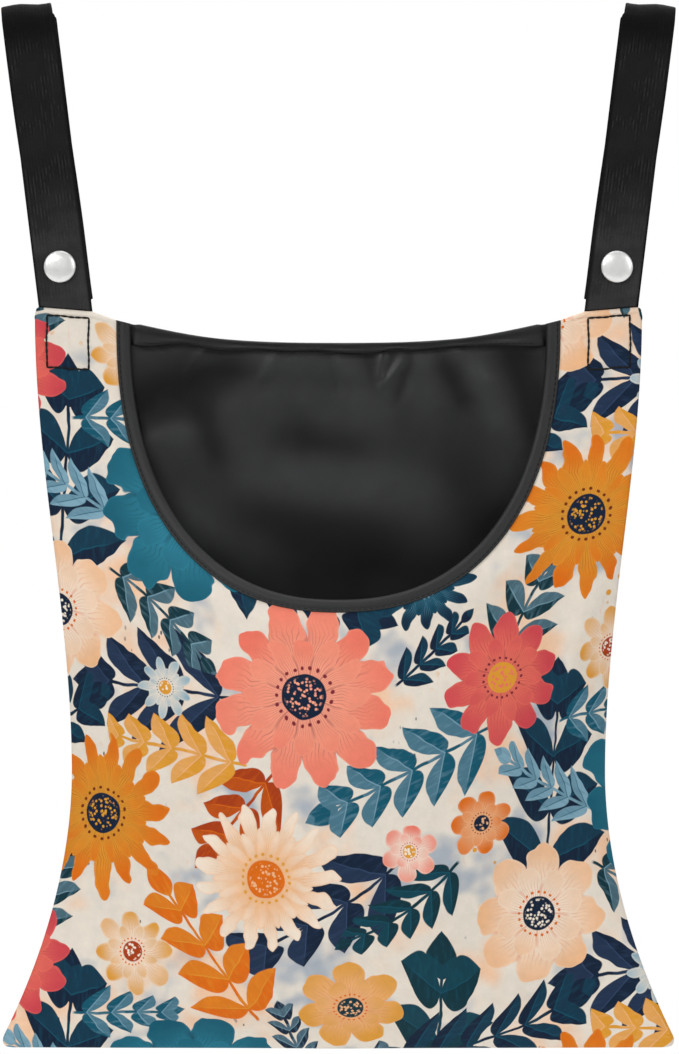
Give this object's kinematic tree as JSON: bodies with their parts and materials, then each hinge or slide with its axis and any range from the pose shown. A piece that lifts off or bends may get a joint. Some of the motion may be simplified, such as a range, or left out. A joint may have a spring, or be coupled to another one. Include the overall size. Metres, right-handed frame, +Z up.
{
  "type": "hanging peg bag",
  "caption": "Fabric peg bag with a deep rounded bound mouth and plain back, hung from webbing straps that loop over a line and close with press studs.",
  "frame": {"origin": "on the line the bag hangs from: halfway between the two strap loops, under the crown of their folds", "axes": "+Z up, +X to the right seen from the front, the printed front faces -Y"},
  "size_m": [0.3174, 0.072, 0.4929],
  "materials": {
    "printed_cloth": "woven cotton-look cloth with a floral print, coated black inside",
    "black_cloth": "black coated cloth with a satin sheen",
    "black_tape": "matt folded black tape",
    "webbing": "ribbed black webbing",
    "snap_cap": "satin white dome",
    "snap_metal": "plated pressed metal"
  },
  "bodies": {
    "bag": {"front_panel": "printed_cloth", "back_panel": "black_cloth", "mouth_binding": "black_tape", "back_hem": "black_tape", "left_strap_leg": "webbing", "left_snap_stud": "snap_metal", "left_snap_post": "snap_metal", "right_strap_leg": "webbing", "right_snap_stud": "snap_metal", "right_snap_post": "snap_metal"},
    "left_flap": {"left_strap_flap": "webbing", "left_snap_cap": "snap_cap", "left_snap_socket": "snap_metal"},
    "right_flap": {"right_strap_flap": "webbing", "right_snap_cap": "snap_cap", "right_snap_socket": "snap_metal"}
  },
  "joints": [
    {"name": "left_flap_opening", "type": "hinge", "parent": "bag", "child": "left_flap", "pos_m": [-0.14503, -0.0102, -0.00893], "axis": [-0.9925, 0, -0.1219], "range_deg": [0, 135]},
    {"name": "right_flap_opening", "type": "hinge", "parent": "bag", "child": "right_flap", "pos_m": [0.14503, -0.0102, -0.00893], "axis": [-0.9925, 0, 0.1219], "range_deg": [0, 135]}
  ]
}
